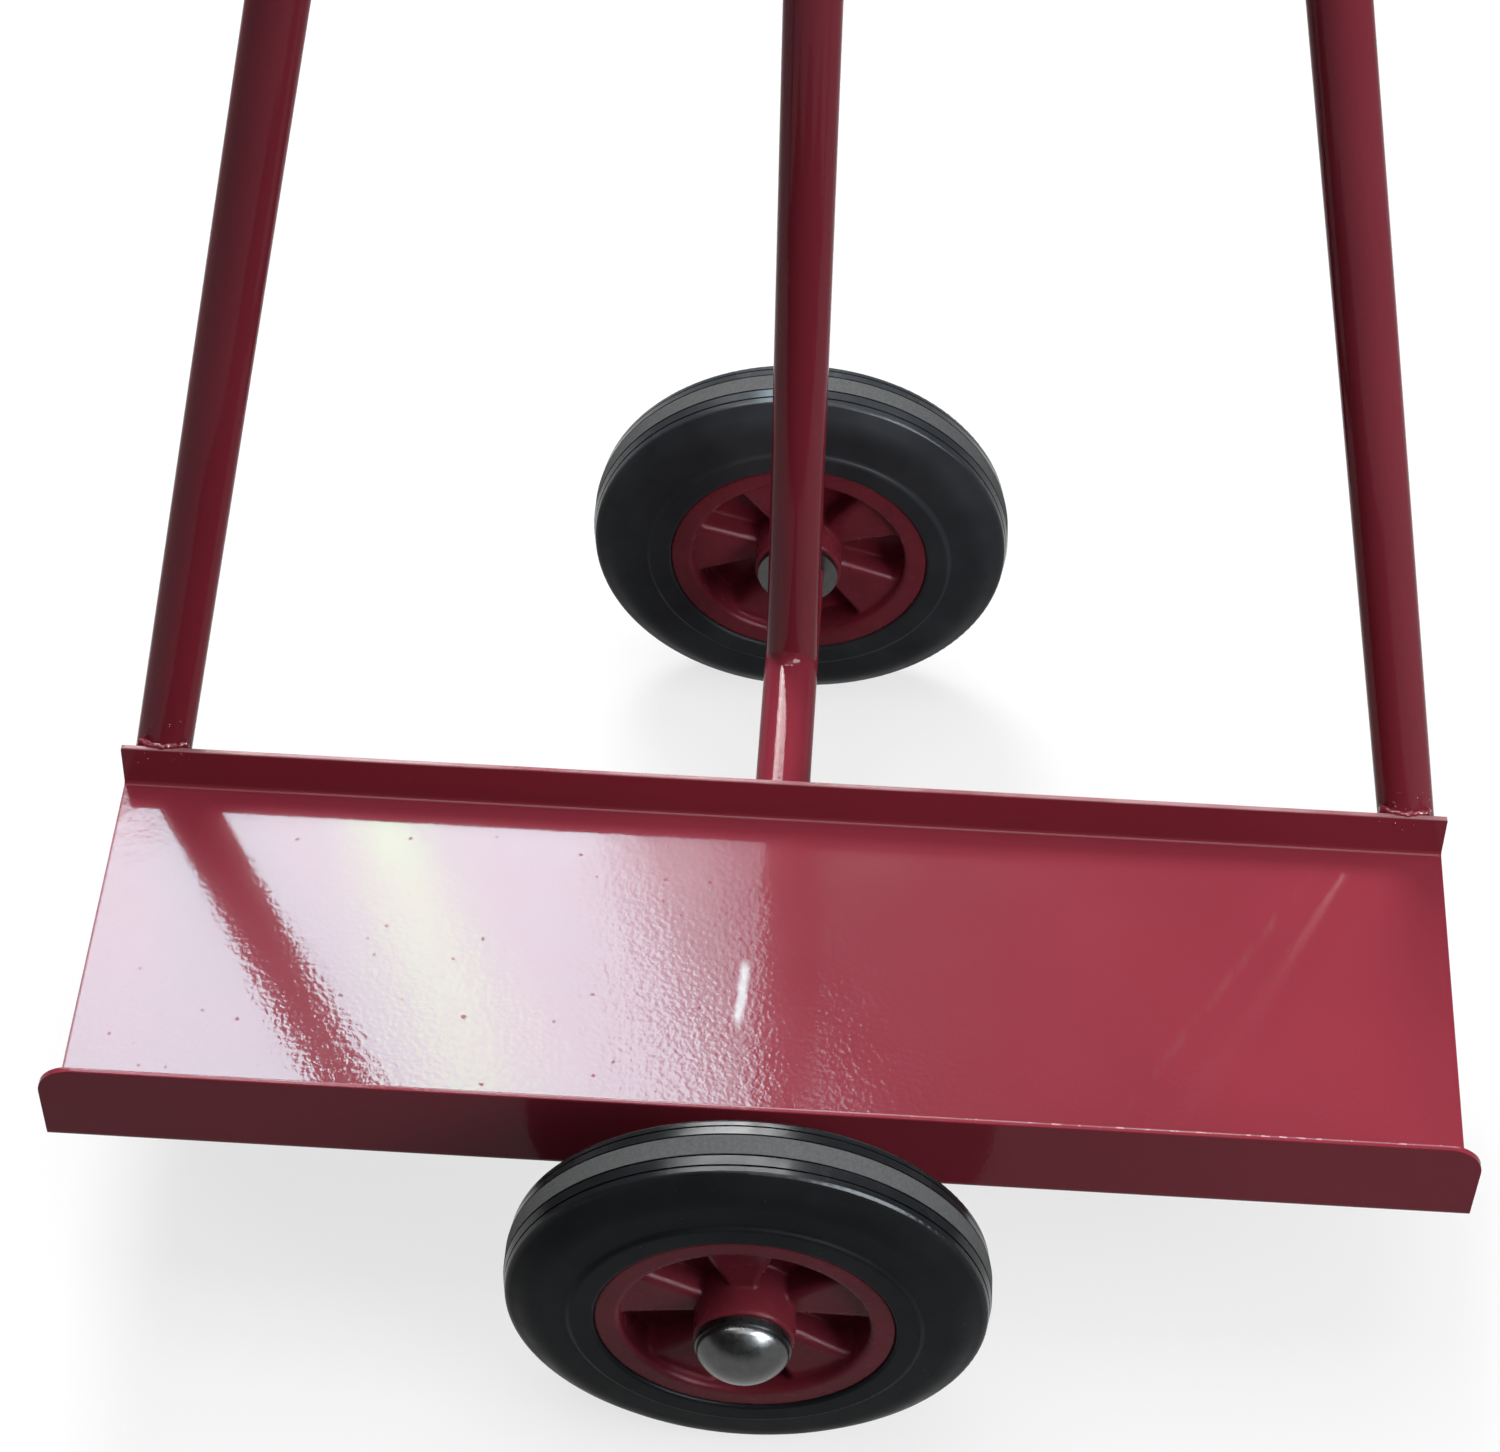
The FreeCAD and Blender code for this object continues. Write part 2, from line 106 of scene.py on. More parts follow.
# Light: its colours, and the point that a turned lamp faces
WHITE = (1.0, 1.0, 1.0)
PALE_BLUE = (0.86, 0.94, 1.0)
COOL_BLUE = (0.62, 0.88, 0.98)
STREAK_LIME = (0.35, 1.0, 0.0)
LIT_POINT = (0.0, 0.0, 0.1)

# How strongly the paint and the rubber mirror their surroundings
LIP_GLOSS = 0.035
TUBE_GLOSS = 0.07
FLANK_GLOSS = 0.012
HANDLED_SHARE = 0.08
FLOOR_GLOSS = 0.19
FLOOR_HAZE = 0.05
HAZE_ROUGHNESS = 0.24
WELD_GLOSS = 0.35
PLASTIC_GLOSS = 0.05
SIDEWALL_GLOSS = 0.030
TREAD_GLOSS = 0.10


def shade(colour, factor):
    """A colour made lighter or darker."""
    return tuple(channel * factor for channel in colour)


class Nodes:
    """Short calls for building one material's node tree, with the surface point's x, y and z at hand."""

    def __init__(self, name):
        self.material = bpy.data.materials.new(name)
        self.material.use_nodes = True
        self.tree = self.material.node_tree
        self.shader = self.tree.nodes["Principled BSDF"]
        self.place = self.add("TexCoord").outputs["Object"]
        split = self.add("SeparateXYZ")
        self.feed(split.inputs[0], self.place)
        self.x, self.y, self.z = split.outputs

    def add(self, kind, **settings):
        node = self.tree.nodes.new("ShaderNode" + kind)
        for key, value in settings.items():
            setattr(node, key, value)
        return node

    def feed(self, socket, value):
        """Links a node's output to a socket, or sets a plain value on it."""
        if isinstance(value, bpy.types.NodeSocket):
            self.tree.links.new(value, socket)
        elif isinstance(value, tuple) and socket.type == "RGBA":
            socket.default_value = (*value, 1.0)
        else:
            socket.default_value = value

    def set(self, **values):
        """Sets the shader's own sockets by name, with _ for a space."""
        for key, value in values.items():
            self.feed(self.shader.inputs[key.replace("_", " ")], value)

    def noise(self, scale, detail=3.0, rough=0.5, stretch=None):
        node = self.add("TexNoise")
        node.inputs["Scale"].default_value = scale
        node.inputs["Detail"].default_value = detail
        node.inputs["Roughness"].default_value = rough
        vector = self.place
        if stretch is not None:
            mapping = self.add("Mapping")
            mapping.inputs["Scale"].default_value = stretch
            self.feed(mapping.inputs["Vector"], vector)
            vector = mapping.outputs[0]
        self.feed(node.inputs["Vector"], vector)
        return node.outputs["Fac"]

    def range(self, value, low, high, to_low=0.0, to_high=1.0):
        """Maps low..high to to_low..to_high and holds the ends."""
        node = self.add("MapRange", clamp=True)
        for socket, number in zip(node.inputs, (value, low, high, to_low, to_high)):
            self.feed(socket, number)
        return node.outputs[0]

    def math(self, operation, a, b=0.0):
        node = self.add("Math", operation=operation)
        self.feed(node.inputs[0], a)
        self.feed(node.inputs[1], b)
        return node.outputs[0]

    def times(self, first, *others):
        for other in others:
            first = self.math("MULTIPLY", first, other)
        return first

    def near(self, value, middle, half, fade):
        """1 within half of the middle, falling to 0 over the fade."""
        away = self.math("ABSOLUTE", self.math("SUBTRACT", value, middle))
        return self.range(away, half - fade, half + fade, 1.0, 0.0)

    def mix(self, factor, a, b):
        """Mixes two colours, each a tuple or a socket."""
        node = self.add("Mix", data_type="RGBA")
        colours = [socket for socket in node.inputs if socket.type == "RGBA"]
        self.feed(node.inputs["Factor"], factor)
        self.feed(colours[0], a)
        self.feed(colours[1], b)
        return next(socket for socket in node.outputs if socket.type == "RGBA")

    def bump(self, height, strength, distance, normal=None):
        node = self.add("Bump")
        node.inputs["Strength"].default_value = strength
        node.inputs["Distance"].default_value = distance
        self.feed(node.inputs["Height"], height)
        if normal is not None:
            self.feed(node.inputs["Normal"], normal)
        return node.outputs[0]


def paint_material(name, gloss_of, on_tray=False):
    """Glossy crimson powder coat with orange peel, and on the tray worn edges that are partly a painted
    highlight, a scratch, and a painted reflection line.
    """
    rippled_to = -105.0 * MM
    smooth_from = 10.0 * MM
    bare_roughness = 0.35
    m = Nodes(name)
    cloud = m.range(m.noise(7.0, 2.0), 0.3, 0.7)
    colour = m.mix(cloud, shade(RED_PAINT, 0.93), shade(RED_PAINT, 1.06))
    speck = m.range(m.noise(900.0, 1.0), 0.70, 0.78, 0.0, 0.25)
    colour = m.mix(speck, colour, shade(RED_PAINT, 0.55))
    rough = m.range(m.noise(26.0, 4.0, 0.6), 0.35, 0.75, 0.06, 0.10)
    ripple = m.noise(420.0, 1.5)
    if on_tray:
        # pale lip edges: worn paint, and on the right part of the front edge also a painted highlight
        worn = tray_wear_and_highlight(m)
        colour = m.mix(worn, colour, BARE_EDGE_AND_HIGHLIGHT)
        # painted reflection: a faint pale line slanting over the right half of the floor
        colour = m.mix(painted_reflection_line(m), colour, PALE_DUST_AND_REFLECTION)
        colour = m.mix(tray_scratch(m), colour, SCRATCH_PALE)
        rough = m.math("MAXIMUM", rough, m.times(worn, bare_roughness))
        ripple = m.times(ripple, m.range(m.y, rippled_to, smooth_from, 1.0, 0.2))
        m.set(Coat_Weight=FLOOR_HAZE, Coat_Roughness=HAZE_ROUGHNESS)
    peel = m.bump(ripple, 0.12, 0.6 * MM)
    peel = m.bump(m.noise(60.0, 1.0), 0.03, 1.2 * MM, peel)
    m.set(Base_Color=colour, Roughness=rough, Normal=peel, Specular_IOR_Level=gloss_of(m))
    return m.material


def tray_gloss(m):
    """Stronger on the floor between the lips, polished by sliding boards, but not on its specks of grit."""
    middle = (tray_low.y + SHEET + TRAY_BACK) / 2
    half = (TRAY_BACK - tray_low.y - SHEET) / 2 + MM
    floor_top = UNDERSIDE + SHEET
    across = m.near(m.y, middle, half, MM)
    inside = m.near(m.x, 0.0, tray_high.x - 0.9 * MM, 0.3 * MM)
    low = m.range(m.z, floor_top + 1.5 * MM, floor_top + 2.5 * MM, 1.0, 0.0)
    clean = m.range(m.noise(260.0, 0.0), 0.82, 0.84, 1.0, 0.0)
    return m.range(m.times(across, inside, low, clean), 0.0, 1.0, LIP_GLOSS, FLOOR_GLOSS)


def tube_gloss(m):
    """Fainter on the flanks, and dulled by hands from the middle of the hoop up to the handle."""
    normal = m.add("SeparateXYZ")
    m.feed(normal.inputs[0], m.add("NewGeometry").outputs["Normal"])
    sideways = m.math("ABSOLUTE", normal.outputs[0])
    gloss = m.range(sideways, 0.45, 0.85, TUBE_GLOSS, FLANK_GLOSS)
    return m.times(gloss, m.range(m.z, 0.5 * HANDLE.z, 0.75 * HANDLE.z, 1.0, HANDLED_SHARE))


def weld_gloss(m):
    """Brighter where the coat has run together over the beads."""
    return m.range(m.noise(300.0, 1.0), 0.35, 0.6, TUBE_GLOSS, WELD_GLOSS)


def tray_wear_and_highlight(m):
    """Paint rubbed pale along both lips' top edges, and pale chips on the right part of the front edge, which
    are partly a painted highlight where light from the right catches that edge.
    """
    broken = m.noise(150.0, 3.0, 0.65)
    inner_edge = tray_low.y + SHEET
    front_edge = m.range(m.z, FRONT_LIP_TOP - 0.9 * MM, FRONT_LIP_TOP - 0.2 * MM)
    front_edge = m.times(front_edge, m.range(m.y, inner_edge - 1.1 * MM, inner_edge - 0.7 * MM))
    # On the right part of the front edge, where the light from the right catches it, the pale chips are also
    # a painted highlight
    on_right = m.range(m.x, -50.0 * MM, 120.0 * MM)
    chips = m.times(front_edge, m.range(broken, 0.53, 0.58), on_right)
    along_lip = m.math("ADD", m.times(m.y, math.sin(LEAN)), m.times(m.z, math.cos(LEAN)))
    lip_reach = BACK_LIP_TOP.y * math.sin(LEAN) + BACK_LIP_TOP.z * math.cos(LEAN)
    back_edge = m.range(along_lip, lip_reach - 0.9 * MM, lip_reach - 0.3 * MM)
    back_edge = m.times(back_edge, m.range(m.y, 0.0, MM))
    rubbed = m.range(m.noise(22.0, 3.0), 0.30, 0.62, 0.08, 0.5)
    edges = m.times(m.math("MAXIMUM", front_edge, back_edge), rubbed)
    return m.math("MAXIMUM", chips, edges)


def tray_scratch(m):
    """One short pale scratch on the floor, a little aslant."""
    slope = 0.05
    middle_x = -7.0 * MM
    middle_y = -77.0 * MM
    half_width = 1.7 * MM
    half_length = 15.5 * MM
    across = m.math("SUBTRACT", m.x, m.times(m.y, slope))
    ragged = m.range(m.noise(160.0, 3.0, 0.6), 0.3, 0.7, -0.8 * MM, 0.8 * MM)
    line = m.near(m.math("ADD", across, ragged), middle_x, half_width, 0.9 * MM)
    return m.times(line, m.near(m.y, middle_y, half_length, 3.0 * MM))


def painted_reflection_line(m):
    """A faint pale line that slants over the right half of the floor: a painted reflection of the right
    upright's edge.
    """
    slope = 0.62
    middle_x = 233.0 * MM
    middle_y = -60.0 * MM
    half_width = 2.0 * MM
    half_length = 55.0 * MM
    across = m.math("SUBTRACT", m.x, m.times(m.y, slope))
    band = m.near(across, middle_x, half_width, 1.8 * MM)
    patch = m.range(m.noise(60.0, 4.0, 0.7, stretch=(2.0, 0.5, 1.0)), 0.42, 0.70, 0.0, 0.10)
    return m.times(band, patch, m.near(m.y, middle_y, half_length, 20.0 * MM))


def plastic_material(name, painted_lightening):
    """Moulded red plastic: satin, with a fine grain and a little dust, lightened by a given factor as painted
    light for a wheel that stands in shade.
    """
    m = Nodes(name)
    cloud = m.range(m.noise(40.0, 3.0), 0.35, 0.7)
    colour = m.mix(cloud, shade(RED_PLASTIC, 0.88 * painted_lightening), shade(RED_PLASTIC, 1.06 * painted_lightening))
    dust = m.range(m.noise(300.0, 4.0, 0.7), 0.60, 0.85, 0.0, 0.06)
    colour = m.mix(dust, colour, PALE_DUST_AND_REFLECTION)
    rough = m.range(m.noise(120.0, 3.0), 0.3, 0.7, 0.22, 0.30)
    soft_edges = m.add("Bevel")
    soft_edges.inputs["Radius"].default_value = 2.5 * MM
    grain = m.bump(m.noise(1800.0, 2.0), 0.06, 0.2 * MM, soft_edges.outputs[0])
    m.set(Base_Color=colour, Roughness=rough, Normal=grain, Specular_IOR_Level=PLASTIC_GLOSS)
    return m.material


def rubber_material(name, wheel_y, painted_lightening):
    """Black rubber, lightened by a given factor as painted light for a wheel that stands in shade: satin
    sides, glossy shoulder strips and a matte grey running band.
    """
    strip_shine = 0.17
    band_roughness = 0.85
    m = Nodes(name)
    offset = m.math("ABSOLUTE", m.math("SUBTRACT", m.y, wheel_y))
    up = m.math("SUBTRACT", m.z, AXLE_Z)
    radius = m.math("SQRT", m.math("ADD", m.times(m.x, m.x), m.times(up, up)))
    at_tread = m.range(radius, TYRE_RADIUS - 0.6 * MM, TYRE_RADIUS - 0.3 * MM)
    band = m.times(at_tread, m.range(offset, BAND_HALF - 0.1 * MM, BAND_HALF + 0.1 * MM, 1.0, 0.0))
    strips = m.range(offset, CROWN_HALF, CROWN_HALF + 1.5 * MM, 1.0, 0.0)
    grain = m.noise(700.0, 3.0, 0.6)
    cloud = m.range(m.noise(30.0, 3.0), 0.3, 0.7)
    black = m.mix(cloud, shade(RUBBER, 0.8 * painted_lightening), shade(RUBBER, 1.25 * painted_lightening))
    fleck = m.range(m.noise(520.0, 1.0), 0.76, 0.80, 0.0, 0.5)
    black = m.mix(fleck, black, shade(TREAD_GREY, 0.6))
    worn = m.mix(m.range(grain, 0.35, 0.65), shade(TREAD_GREY, 0.85), shade(TREAD_GREY, 1.1))
    satin = m.range(m.noise(90.0, 3.0), 0.3, 0.7, 0.36, 0.46)
    rough = m.math("SUBTRACT", satin, m.times(strips, strip_shine))
    rough = m.math("MAXIMUM", rough, m.times(band, band_roughness))
    m.set(
        Base_Color=m.mix(band, black, worn),
        Roughness=rough,
        Normal=m.bump(grain, 0.10, 0.2 * MM),
        Specular_IOR_Level=m.range(strips, 0.0, 1.0, SIDEWALL_GLOSS, TREAD_GLOSS),
    )
    return m.material


def zinc_material():
    """Dull zinc plate with faint clouding, its colour far darker than real zinc: painted shade for the dark
    surroundings that a cap would mirror.
    """
    m = Nodes("zinc_plate")
    cloud = m.range(m.noise(160.0, 4.0, 0.6), 0.3, 0.7)
    colour = m.mix(cloud, shade(DARKENED_ZINC, 0.85), shade(DARKENED_ZINC, 1.12))
    rough = m.range(m.noise(420.0, 3.0), 0.3, 0.7, 0.26, 0.33)
    dents = m.bump(m.noise(300.0, 2.0), 0.03, 0.2 * MM)
    m.set(Base_Color=colour, Metallic=1.0, Roughness=rough, Normal=dents)
    return m.material


def steel_material():
    """Drawn steel with fine lines along the axle."""
    m = Nodes("drawn_steel")
    lines = m.noise(500.0, 3.0, 0.6, stretch=(1.0, 0.04, 1.0))
    colour = m.mix(m.range(lines, 0.3, 0.7), shade(STEEL, 0.85), STEEL)
    rough = m.range(lines, 0.3, 0.7, 0.22, 0.36)
    m.set(Base_Color=colour, Metallic=1.0, Roughness=rough, Normal=m.bump(lines, 0.05, 0.1 * MM))
    return m.material


def cage_material():
    """Matte black moulding."""
    m = Nodes("black_moulded_plastic")
    grain = m.noise(1500.0, 3.0)
    colour = m.mix(m.range(grain, 0.3, 0.7), BLACK_PLASTIC, shade(BLACK_PLASTIC, 1.5))
    rough = m.range(grain, 0.3, 0.7, 0.5, 0.62)
    m.set(Base_Color=colour, Roughness=rough, Normal=m.bump(grain, 0.1, 0.1 * MM))
    return m.material


def coat(name, material):
    """Gives a carried-over solid its one material."""
    materials = nodes[name].data.materials
    materials.clear()
    materials.append(material)


def dress_solids(tube_paint, weld_paint):
    """Materials for every solid of the frame and the wheels."""
    zinc = zinc_material()
    steel = steel_material()
    black = cage_material()
    coat("tray", paint_material("red_powder_coat_tray", tray_gloss, on_tray=True))
    for name in ("back_hoop", "handle_strut", "axle_tube"):
        coat(name, tube_paint)
    for name in ("hoop_welds", "strut_foot_weld", "strut_head_weld", "axle_tube_welds"):
        coat(name, weld_paint)
    coat("axle_bar", steel)
    # The rear wheel's rubber and plastic are painted lighter: painted light making up for the light that the
    # tray keeps off it
    for end, wheel_y, rim_painted_lightening, tyre_painted_lightening in (
        ("front", FRONT_WHEEL_Y, 1.0, 1.0),
        ("rear", REAR_WHEEL_Y, 1.3, 3.0),
    ):
        coat(end + "_tyre", rubber_material(end + "_rubber", wheel_y, tyre_painted_lightening))
        coat(end + "_rim", plastic_material(end + "_moulded_plastic", rim_painted_lightening))
        for part in ("inner_washer", "outer_washer", "hub_cap"):
            coat(f"{end}_{part}", zinc)
        for part in ("bearing_sleeve", "rollers"):
            coat(f"{end}_{part}", steel)
        for part in ("bearing_end_rings", "roller_cage"):
            coat(f"{end}_{part}", black)


def even_points(points, step):
    """The same line with points about one step apart."""
    spaced = []
    for start, end in zip(points, points[1:]):
        count = max(1, round((end - start).length / step))
        spaced += [start.lerp(end, i / count) for i in range(count)]
    return spaced + [points[-1]]


def add_bead(mesh, points, size):
    """One lumpy run of weld along a line, tapered at both ends."""
    sides = 12
    lump = 1.1 * size
    unevenness = 0.55
    blunt_end = 0.4
    taper_step = 0.15
    points = even_points(points, size / 4)
    last = len(points) - 1
    across = Vector((0.31, 0.52, 0.79))
    rows = []
    for i, point in enumerate(points):
        along = (points[min(i + 1, last)] - points[max(i - 1, 0)]).normalized()
        across = (across - along * across.dot(along)).normalized()
        other = along.cross(across)
        taper = min(1.0, blunt_end + taper_step * min(i, last - i))
        row = []
        for k in range(sides):
            turn = 2 * math.pi * k / sides
            outward = across * math.cos(turn) + other * math.sin(turn)
            swell = 1 + unevenness * noise.noise((point + outward * size) / lump)
            row.append(mesh.verts.new(point + outward * (size * taper * swell)))
        rows.append(row)
    for row, following in zip(rows, rows[1:]):
        for k in range(sides):
            mesh.faces.new((row[k], row[(k + 1) % sides], following[(k + 1) % sides], following[k]))
    mesh.faces.new(list(reversed(rows[0])))
    mesh.faces.new(rows[-1])


def add_drop(mesh, point, normal, size, chance):
    """One flattened drop of spatter on a surface."""
    turn = normal.to_track_quat("Z", "Y").to_matrix().to_4x4()
    flat = Matrix.Diagonal((1.0, chance.uniform(0.8, 1.2), chance.uniform(0.45, 0.8), 1.0))
    placed = Matrix.Translation(point) @ turn @ flat
    bmesh.ops.create_icosphere(mesh, subdivisions=2, radius=size, matrix=placed)


def finish_piece(name, mesh, material, replaced=()):
    """Turns a built mesh into a smooth piece that rides on the frame."""
    data = bpy.data.meshes.new(name)
    bmesh.ops.recalc_face_normals(mesh, faces=mesh.faces)
    mesh.to_mesh(data)
    mesh.free()
    data.shade_smooth()
    data.materials.append(material)
    piece = bpy.data.objects.new(name, data)
    bpy.context.scene.collection.objects.link(piece)
    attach(piece, "frame")
    if replaced:
        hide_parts(*replaced)


def upright_centre(side, height):
    """Where an upright's centre line passes a height."""
    foot_half = tray_high.x - UPRIGHT_INSET
    inward = (foot_half - HANDLE_HALF) / (HANDLE.z - UNDERSIDE)
    x = side * (foot_half - inward * (height - UNDERSIDE))
    y = HANDLE.y + (height - HANDLE.z) * math.tan(LEAN)
    return Vector((x, y, height))


def upright_bead_line(side):
    """Up one flank of the tube behind the lip, over the lip's top edge and down the other flank."""
    reach = math.radians(52)
    steps = 8
    lip_down = Vector((0.0, -math.sin(LEAN), -math.cos(LEAN)))
    middle = upright_centre(side, BACK_LIP_TOP.z)
    arc = []
    for i in range(steps + 1):
        turn = reach * (2 * i / steps - 1)
        gap = TUBE_RADIUS * (1 - math.cos(turn))
        x = middle.x + TUBE_RADIUS * math.sin(turn)
        arc.append(Vector((x, BACK_LIP_TOP.y + gap / 2, BACK_LIP_TOP.z)))
    drop = lip_down * (BACK_LIP_LENGTH - 2 * SHEET)
    return [arc[0] + drop, *arc, arc[-1] + drop]


def build_upright_welds(paint):
    """The beads that join both uprights to the back lip."""
    mesh = bmesh.new()
    for side in (-1, 1):
        add_bead(mesh, upright_bead_line(side), 0.72 * WELD_SIZE)
    finish_piece("upright_weld_beads", mesh, paint, ["hoop_welds"])


def add_fillet(mesh, middle, along, up):
    """A smooth hollow run of weld in the corner between the strut and the bar that it stands on."""
    reach = math.radians(82)
    steps = 24
    arc_steps = 8
    unevenness = 0.25
    side = up.cross(along)
    rows = []
    for i in range(steps + 1):
        turn = reach * (2 * i / steps - 1)
        off_axis = STRUT_RADIUS * math.sin(turn)
        crest = math.sqrt(TUBE_RADIUS ** 2 - off_axis ** 2)
        corner = middle + along * (STRUT_RADIUS * math.cos(turn)) + side * off_axis + up * crest
        leg = FILLET_LEG * math.cos(turn) * (1 + unevenness * noise.noise(corner / FILLET_LEG))
        sunk = corner - (along + up) * FILLET_SINK
        row = [mesh.verts.new(sunk)]
        for k in range(arc_steps + 1):
            lift = math.pi / 2 * k / arc_steps
            out = leg * (1 - math.sin(lift))
            rise = leg * (1 - math.cos(lift))
            row.append(mesh.verts.new(sunk + along * out + up * rise))
        rows.append(row)
    for row, following in zip(rows, rows[1:]):
        for k in range(len(row)):
            beside = (k + 1) % len(row)
            mesh.faces.new((row[k], row[beside], following[beside], following[k]))
    mesh.faces.new(list(reversed(rows[0])))
    mesh.faces.new(rows[-1])


def build_strut_welds(paint):
    """The welds before and behind the strut's foot on the axle tube, and beside its head under the handle."""
    foot = Vector((0.0, STRUT_FOOT_Y, AXLE_Z))
    for name, middle, along, up, node in (
        ("strut_foot_bead", foot, Vector((0.0, 1.0, 0.0)), Vector((0.0, 0.0, 1.0)), "strut_foot_weld"),
        ("strut_head_bead", HANDLE, Vector((1.0, 0.0, 0.0)), Vector((0.0, 0.0, -1.0)), "strut_head_weld"),
    ):
        mesh = bmesh.new()
        for facing in (-along, along):
            add_fillet(mesh, middle, facing, up)
        finish_piece(name, mesh, paint, [node])


def build_stitch_welds(paint):
    """Stitch beads in the wedges between the axle tube and the underside of the tray."""
    mesh = bmesh.new()
    half_gap = math.sqrt(2 * AXLE_TUBE_RADIUS * WELD_SIZE)
    first = tray_low.y + SHEET + BEND_RADIUS
    last = TRAY_BACK - BEND_RADIUS - STITCH_LENGTH
    for side in (-1, 1):
        for i in range(STITCH_COUNT):
            y = first + (last - first) * i / (STITCH_COUNT - 1)
            start = Vector((side * half_gap, y, UNDERSIDE - WELD_SIZE / 2))
            add_bead(mesh, [start, start + Vector((0.0, STITCH_LENGTH, 0.0))], 0.8 * WELD_SIZE)
    finish_piece("axle_stitch_beads", mesh, paint, ["axle_tube_welds"])


def build_spatter(paint):
    """Small painted-over drops on the lip and the tube round each upright's foot."""
    lip_drops = 9
    tube_drops = 10
    chance = random.Random(23)
    mesh = bmesh.new()
    face_out = Vector((0.0, -math.cos(LEAN), math.sin(LEAN)))
    lip_down = Vector((0.0, -math.sin(LEAN), -math.cos(LEAN)))
    for side in (-1, 1):
        for _ in range(lip_drops):
            x = upright_centre(side, BACK_LIP_TOP.z).x + chance.uniform(-19, 14) * MM * side
            point = Vector((x, BACK_LIP_TOP.y, BACK_LIP_TOP.z)) + face_out * SHEET
            point += lip_down * chance.uniform(1.0, 9.0) * MM
            add_drop(mesh, point, face_out, chance.uniform(0.3, 0.6) * MM, chance)
        for _ in range(tube_drops):
            turn = math.radians(chance.uniform(-75, 75))
            outward = Vector((math.sin(turn), -math.cos(turn), 0.0))
            height = BACK_LIP_TOP.z + chance.uniform(1.5, 14.0) * MM
            point = upright_centre(side, height) + outward * TUBE_RADIUS
            add_drop(mesh, point, outward, chance.uniform(0.35, 0.85) * MM, chance)
    finish_piece("weld_spatter", mesh, paint)


def add_camera():
    """The camera at the photograph's place, turned and rolled as it was."""
    forward = Vector((
        math.sin(CAMERA_YAW) * math.cos(CAMERA_DEPRESSION),
        math.cos(CAMERA_YAW) * math.cos(CAMERA_DEPRESSION),
        -math.sin(CAMERA_DEPRESSION),
    ))
    level = Vector((math.cos(CAMERA_YAW), -math.sin(CAMERA_YAW), 0.0))
    up = level.cross(forward)
    right = level * math.cos(CAMERA_ROLL) + up * math.sin(CAMERA_ROLL)
    top = up * math.cos(CAMERA_ROLL) - level * math.sin(CAMERA_ROLL)
    data = bpy.data.cameras.new("camera")
    data.sensor_fit = "HORIZONTAL"
    data.sensor_width = SENSOR_WIDTH
    data.lens = SENSOR_WIDTH * FOCAL_PIXELS / PICTURE_WIDTH
    camera = bpy.data.objects.new("camera", data)
    turned = Matrix((right, top, -forward)).transposed().to_4x4()
    camera.matrix_world = Matrix.Translation(CAMERA_PLACE) @ turned
    bpy.context.scene.collection.objects.link(camera)
    bpy.context.scene.camera = camera


def add_panel(name, place, size, radiance, colour=WHITE, target=None):
    """A rectangular lamp of a given size and brightness that faces straight down, or towards a target."""
    width, depth = size
    data = bpy.data.lights.new(name, "AREA")
    data.shape = "RECTANGLE"
    data.size = width
    data.size_y = depth
    data.energy = radiance * math.pi * width * depth
    data.color = colour
    lamp = bpy.data.objects.new(name, data)
    lamp.location = place
    if target is not None:
        aim = Vector(target) - Vector(place)
        lamp.rotation_euler = aim.to_track_quat("-Z", "Y").to_euler()
    bpy.context.scene.collection.objects.link(lamp)
    return lamp


def spare(lamp, *names):
    """Keeps a lamp's light off the named solids."""
    spared = bpy.data.collections.new(lamp.name + "_spared")
    for name in names:
        spared.objects.link(nodes[name])
    for member in spared.collection_objects:
        member.light_linking.link_state = "EXCLUDE"
    lamp.light_linking.receiver_collection = spared


def add_lights():
    """Soft light from above, behind, the front and the right, and shapes that only the gloss mirrors."""
    add_panel("ceiling", (-0.1, 0.3, 3.0), (2.4, 1.6), 2.4)
    window_light = add_panel("window_light", (-0.55, 1.65, 2.45), (1.0, 0.9), 20.0, target=LIT_POINT)
    front_fill = add_panel("front_fill", (1.05, -0.75, 0.85), (0.7, 0.7), 4.9, target=LIT_POINT)
    right_fill = add_panel("right_fill", (2.6, -0.6, 1.8), (1.6, 1.2), 0.8, target=LIT_POINT)
    for fill in (window_light, front_fill, right_fill):
        fill.visible_glossy = False
    side = add_panel("side", (1.7, -1.1, 1.8), (1.6, 1.6), 45.0, PALE_BLUE, target=LIT_POINT)
    near_strip = add_panel("near_strip", (-0.6, 0.42, 2.9), (2.8, 0.25), 70.0)
    far_strip = add_panel("far_strip", (-0.6, 3.4, 2.9), (2.8, 0.6), 80.0)
    front_top = add_panel("front_top", (0.2, -1.1, 2.4), (1.6, 1.0), 5.0)
    for mirrored in (*add_window(), side, near_strip, far_strip, front_top):
        mirrored.visible_diffuse = False
    spare(side, "tray", "back_hoop", "handle_strut", "axle_tube")
    spare(near_strip, "tray")
    spare(far_strip, "tray")
    add_surround()


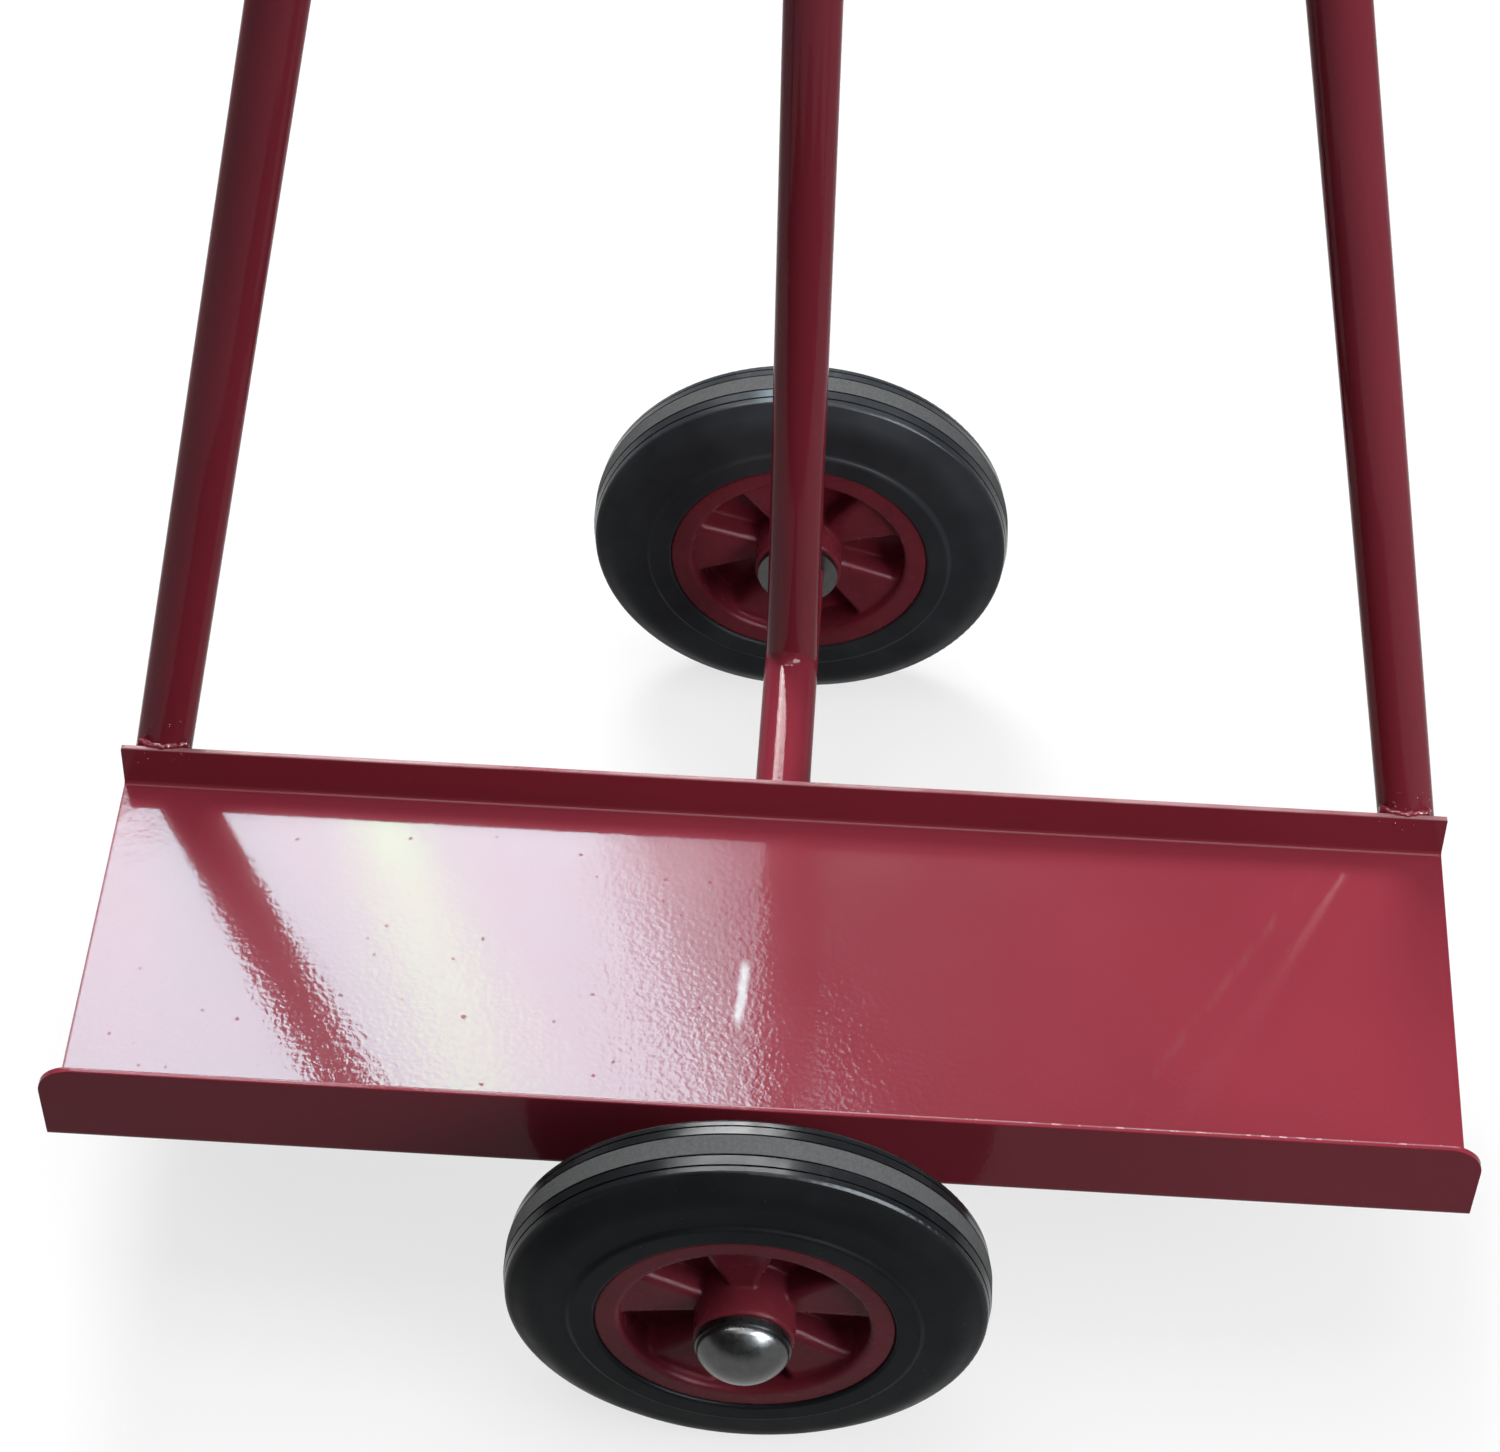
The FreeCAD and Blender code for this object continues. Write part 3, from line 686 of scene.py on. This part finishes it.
def add_window():
    """A cool window high behind on the left, whose light fades at its slanting right edge, with one bright
    streak.
    """
    height = 2.5
    depth = 0.90
    slant = math.radians(19)
    streak_slant = math.atan2(0.161, 0.39)
    across = Vector((math.cos(slant), math.sin(slant), 0.0))
    edge = Vector((-0.195, 1.715, height))
    panes = []
    for left, right, radiance in ((-0.86, 0.0, 36.8), (0.0, 0.045, 18.0), (0.045, 0.125, 12.5)):
        middle = edge + across * (left + right) / 2
        pane = add_panel("window", middle, (right - left, depth), radiance, COOL_BLUE)
        pane.rotation_euler.z = slant
        panes.append(pane)
    panes.append(add_panel("window_haze", (-0.165, edge.y, height), (0.21, depth), 6.5, COOL_BLUE))
    panes.append(add_panel("window_behind", (-1.05, 2.63, height), (2.4, 1.0), 50.0))
    streak = add_panel("streak", (-0.487, 1.745, height - 0.03), (0.075, 0.62), 14.0, STREAK_LIME)
    streak.rotation_euler.z = streak_slant
    return (*panes, streak)


def add_surround():
    """Dim all round and bright overhead."""
    world = bpy.data.worlds.new("studio")
    world.use_nodes = True
    bpy.context.scene.world = world
    tree = world.node_tree
    place = tree.nodes.new("ShaderNodeTexCoord")
    split = tree.nodes.new("ShaderNodeSeparateXYZ")
    ramp = tree.nodes.new("ShaderNodeValToRGB")
    tree.links.new(place.outputs["Generated"], split.inputs[0])
    tree.links.new(split.outputs[2], ramp.inputs[0])
    tree.links.new(ramp.outputs[0], tree.nodes["Background"].inputs["Color"])
    stops = ramp.color_ramp.elements
    stops[0].position = 0.15
    stops[1].position = 0.90
    stops.new(0.80)
    for stop, level in zip(stops, (0.05, 0.08, 0.90)):
        stop.color = (level, level, level, 1.0)


def add_floor():
    """A pale plain floor that takes the shadow. To bounced light it is darker than to the eye."""
    bounced = 0.09
    shaded = 0.26
    glow = 0.74
    bpy.ops.mesh.primitive_plane_add(size=60.0)
    floor = bpy.context.object
    floor.name = "floor"
    m = Nodes("pale_floor")
    path = m.add("LightPath")
    seen = m.math("MAXIMUM", path.outputs["Is Camera Ray"], path.outputs["Is Glossy Ray"])
    seen = m.math("MAXIMUM", seen, path.outputs["Is Transmission Ray"])
    m.set(
        Base_Color=m.mix(seen, shade(WHITE, bounced), shade(WHITE, shaded)),
        Emission_Color=WHITE,
        Emission_Strength=m.times(seen, glow),
        Roughness=0.9,
        Specular_IOR_Level=0.0,
    )
    floor.data.materials.append(m.material)


bpy.context.scene.view_settings.view_transform = "Standard"
add_camera()
add_lights()
add_floor()
tube_paint = paint_material("red_powder_coat", tube_gloss)
weld_paint = paint_material("red_powder_coat_welds", weld_gloss)
dress_solids(tube_paint, weld_paint)
build_upright_welds(weld_paint)
build_strut_welds(tube_paint)
build_stitch_welds(weld_paint)
build_spatter(weld_paint)
